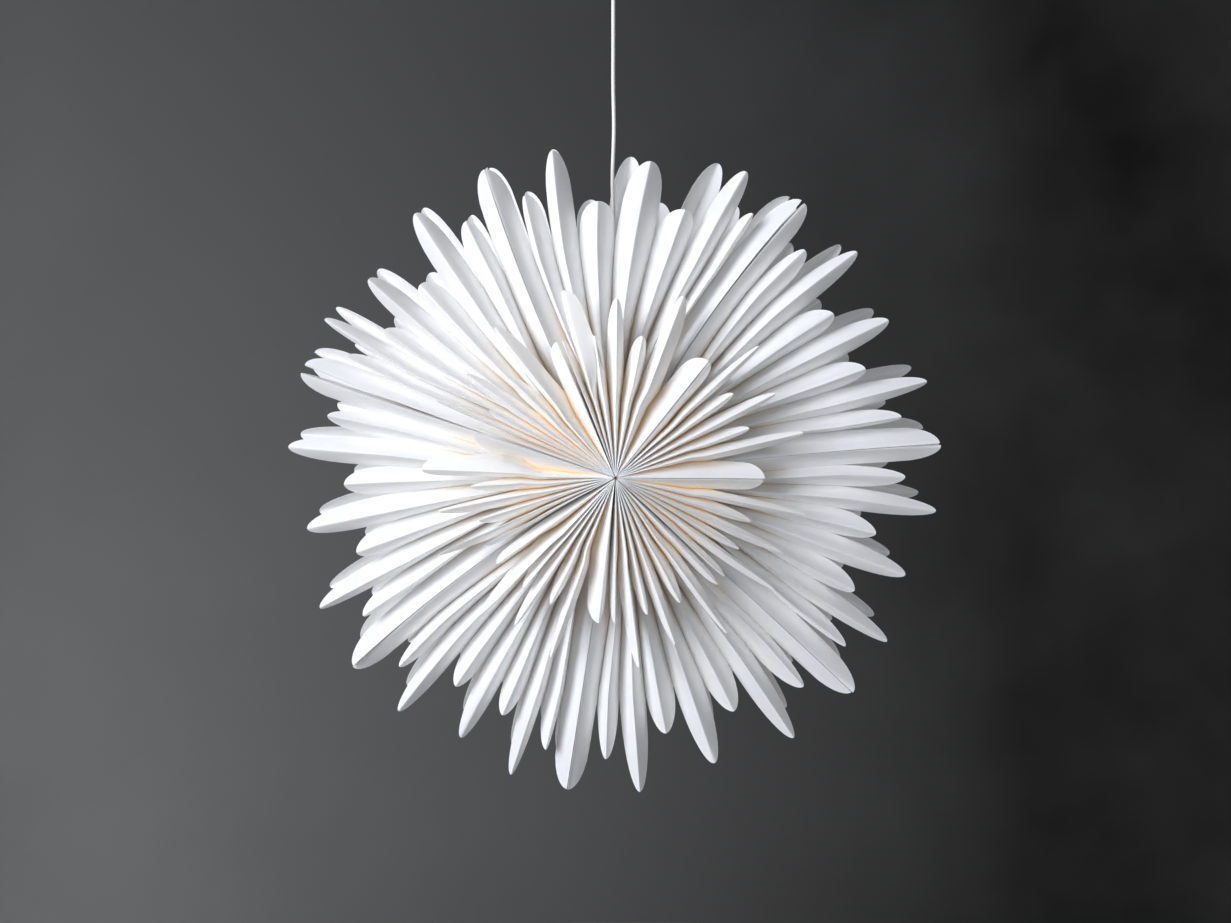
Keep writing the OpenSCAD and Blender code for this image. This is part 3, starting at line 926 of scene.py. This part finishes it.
def round_curve(name, radius, resolution, material):
    """A curve without points yet, swept with a round section."""
    curve = bpy.data.curves.new(name, "CURVE")
    curve.dimensions = "3D"
    curve.bevel_depth = radius
    curve.bevel_resolution = resolution
    curve.use_fill_caps = True
    curve.materials.append(material)
    return curve


def rod(name, routes, radius, material):
    """Round wire or thread along routes given in metres from the hub."""
    curve = round_curve(name, radius, 5, material)
    for route in routes:
        spline = curve.splines.new("POLY")
        spline.points.add(len(route) - 1)
        for point, p in zip(spline.points, route):
            point.co = (*(HUB + np.array(p)), 1)
        spline.use_smooth = True
    return linked(name, curve)


def make_yoke_wire():
    """The bent wire: a hook under the spines, two legs round the bulb, two arms on the plate."""
    hook_r, leg_x, arm_z = 0.0142, 0.031, 0.1255
    turn = np.linspace(math.pi, 2 * math.pi, 48)
    hook = [(hook_r * math.cos(a), 0, hook_r * math.sin(a)) for a in turn]
    leg = smoothed([(hook_r, 0, 0), (leg_x, 0, 0.048), (leg_x, 0, arm_z), (0.02, 0, arm_z)])
    other = [(-p[0], p[1], p[2]) for p in leg]
    route = other[:0:-1] + hook + leg[1:]
    piece = rod("yoke_wire_bent", [route], 0.001, MATERIALS["steel_wire"])
    stands_for(piece, "lantern", "steel_wire", "yoke_wire")


def make_spine_bands():
    """Two bands of cotton thread wound round the spines, each turn beside the last."""
    turns, middle, width, band_r, uneven = 7, 0.032, 0.0051, 0.0127, 0.00012
    t = np.linspace(0, 1, turns * 40)
    radius = band_r + uneven * np.sin(2 * np.pi * 5.3 * t)
    angle = 2 * np.pi * turns * t
    routes = []
    for side in (-1, 1):
        y = side * middle + width * (t - 0.5)
        routes.append(list(zip(radius * np.cos(angle), y, radius * np.sin(angle))))
    piece = rod("spine_bands_wound", routes, 0.00042, MATERIALS["band_thread"])
    stands_for(piece, "lantern", "band_thread", "spine_bands")


def make_core_tube():
    """The card tube that the spines stand round."""
    end = INNER["apex"] * 1000 - 4.8
    tube = [(1.5, -end), (3.8, -end), (3.8, end), (1.5, end)]
    turned("core_tube", "lantern", "card", tube, along_core=True, corner=0.0002)


def make_seam_strips(node, section, side, slot):
    """Strips of paper tape on the face at the closing seam, one in front and one behind."""
    outwards = 1 if side else -1
    clear, ripple, thickness, nearest, width, columns = 0.00016, 0.00005, 0.00012, 0.0564, 0.014, 7
    r = np.linspace(0.13, 0.262, 45)[:, None]
    off = outwards * np.arcsin((clear + ripple * np.sin(60 * r)) / r)
    pieces = []
    for end in (-1, 1):
        y = end * (nearest + width * np.linspace(0, 1, columns))
        points = placed(angle_at(section, side, r, y, 0.0) + off, r + 0 * y, y + 0 * r)
        pieces.append(add_piece(f"{node}_{end}", grid_mesh(node, points), MATERIALS[slot]))
        applied(pieces[-1], "SOLIDIFY", thickness=thickness, offset=0, use_rim=True)
    piece = joined(pieces)
    piece.name = node + "_strips"
    add_flat_uv(piece.data)
    stands_for(piece, body_of_section(section), slot, node)
    fold_with(piece)


make_canopy()
make_lampholder()
make_shade_ring()
make_bulb()
make_yoke_wire()
make_spine_bands()
make_core_tube()
make_seam_strips("seam_tapes", 7, 1, "seam_tape")
make_seam_strips("seam_tabs", 1, 0, "faces_paper")

KEPT = {
    "canopy_bush": "canopy_plastic",
    "canopy_grub_screw": "steel_wire",
    "ceiling_plate": "steel_plate",
    "cord_anchor": "steel_plate",
    "terminal_block": "block_plastic",
    "terminal_screws": "brass",
    "lampholder_terminals": "brass",
    "centre_contact": "brass",
    "flex_cores": "core_insulation",
}
for node, slot in KEPT.items():
    for material_slot in frame["nodes"][node].material_slots:
        material_slot.material = MATERIALS[slot]


# ---- flex ---------------------------------------------------------------------------

FLEX_D = 0.0045


def make_flex():
    """The lamp flex, from the lampholder's cap to the ceiling anchor.

    It is almost straight, and between the two fittings it keeps slight waves from its coil.
    """
    low, high = HUB[2] + 0.164, -0.012
    free_low, free_high = HUB[2] + 0.24, -0.195
    sideways, forwards = 0.0011, 0.0008
    curve = round_curve("flex", FLEX_D / 2, 6, MATERIALS["flex_sheath"])
    spline = curve.splines.new("NURBS")
    levels = np.linspace(low, high, 40)
    spline.points.add(len(levels) - 1)
    for point, z in zip(spline.points, levels):
        t = min(max((z - free_low) / (free_high - free_low), 0), 1)
        sway = math.sin(math.pi * t) ** 2 if 0 < t < 1 else 0
        x = sideways * sway * math.sin(11 * t + 0.6)
        y = forwards * sway * math.cos(9 * t)
        point.co = (x, y, z, 1)
    spline.order_u = 4
    spline.use_endpoint_u = True
    spline.resolution_u = 6
    piece = linked("flex", curve)
    stands_for(piece, "ceiling", "flex_sheath", "flex_cord")


make_flex()

# ---- room, light and camera ---------------------------------------------------------


def stage_material(name, lit_low_tone, tone, shaded_far_tone):
    """Matt paint, faintly clouded, painted lighter low down and into painted shade at the right."""
    n = Nodes(name)
    place = n.place()
    parts = n.add("ShaderNodeSeparateXYZ", {"Vector": place}).outputs
    # Painted light: lighter low down, turning into painted shade towards the right.
    painted_lit_colour = n.mix(n.ramp(parts["Z"], -2.3, 0), lit_low_tone, tone)
    colour = n.mix(n.ramp(parts["X"], -1.5, 1.3), painted_lit_colour, shaded_far_tone)
    dark = darker(tone, 0.8)
    cloud = n.spread(n.noise(place, 1.1, 4), 0, 0.3)
    return n.finish(Base_Color=n.mix(cloud, colour, dark), Roughness=0.95, Specular_IOR_Level=0.1)


def grey(level, tint=0.0):
    """A grey tone, or one that is a little warm by that tint."""
    return (level, level - tint, level - 2 * tint, 1)


def make_room():
    """A pale floor and a dark grey wall all round."""
    radius, floor_z, top_z, sides = 4.6, -2.7, 6.0, 96
    turn = [2 * math.pi * k / sides for k in range(sides)]

    def ring(bm, z):
        return [bm.verts.new((radius * math.cos(a), radius * math.sin(a), z)) for a in turn]

    bm = bmesh.new()
    bm.faces.new(ring(bm, floor_z))
    # The floor is painted a little darker at the right, as painted shade.
    paint = stage_material("floor_paint", grey(0.62, 0.01), grey(0.62, 0.01), grey(0.56, 0.01))
    floor = add_piece("floor", finished(bm, "floor"), paint, smooth=False)
    bm = bmesh.new()
    low, high = ring(bm, floor_z), ring(bm, top_z)
    for k in range(sides):
        t = (k + 1) % sides
        bm.faces.new([low[t], low[k], high[k], high[t]])
    # The wall is painted lightest low down at the left and dark at the right: painted light and
    # shade.
    paint = stage_material("wall_paint", (0.48, 0.48, 0.475, 1), grey(0.26), grey(0.02))
    wall = add_piece("wall", finished(bm, "wall"), paint)


def area_light(name, place, size, watts, tone):
    """A rectangular light aimed at the hub; its place is given from the hub."""
    lamp = bpy.data.lights.new(name, "AREA")
    lamp.shape = "RECTANGLE"
    lamp.size, lamp.size_y = size
    lamp.energy = watts
    lamp.color = tone
    light = linked(name, lamp)
    light.location = Vector(HUB) + Vector(place)
    light.rotation_euler = (-Vector(place)).to_track_quat("-Z", "Y").to_euler()


def make_camera():
    """Aimed slightly down at the front apex of the star, which it sees a little below centre."""
    azimuth, elevation, distance, rise = math.radians(-1.3), math.radians(7.4), 3.13, 0.0194
    level = math.cos(elevation)
    back = Vector((math.sin(azimuth) * level, -math.cos(azimuth) * level, math.sin(elevation)))
    turn = (-back).to_track_quat("-Z", "Y")
    apex = Vector((HUB[0], HUB[1] - INNER["apex"], HUB[2]))
    data = bpy.data.cameras.new("camera")
    data.lens = 78
    data.sensor_width = 36
    camera = linked("camera", data)
    camera.location = apex + turn @ Vector((0, rise, 0)) + distance * back
    camera.rotation_euler = turn.to_euler()
    bpy.context.scene.camera = camera


COOL = (0.93, 0.945, 0.99)

make_room()
make_camera()
area_light("key", (-1.95, -1.95, 1.0), (1.5, 1.7), 106, (0.94, 0.95, 0.99))
area_light("fill", (2.3, -3.0, 0.3), (2.2, 2.2), 27, COOL)
area_light("back", (2.5, 2.7, 0.9), (1.8, 1.8), 20, COOL)
world = bpy.data.worlds.new("room_light")
world.use_nodes = True
sky = world.node_tree.nodes["Background"].inputs
sky["Color"].default_value = (0.92, 0.95, 1.0, 1)
sky["Strength"].default_value = 0.34
bpy.context.scene.world = world
bpy.context.scene.view_settings.view_transform = "Standard"
# White paper lights its own valleys over many bounces.
bpy.context.scene.cycles.diffuse_bounces = 10
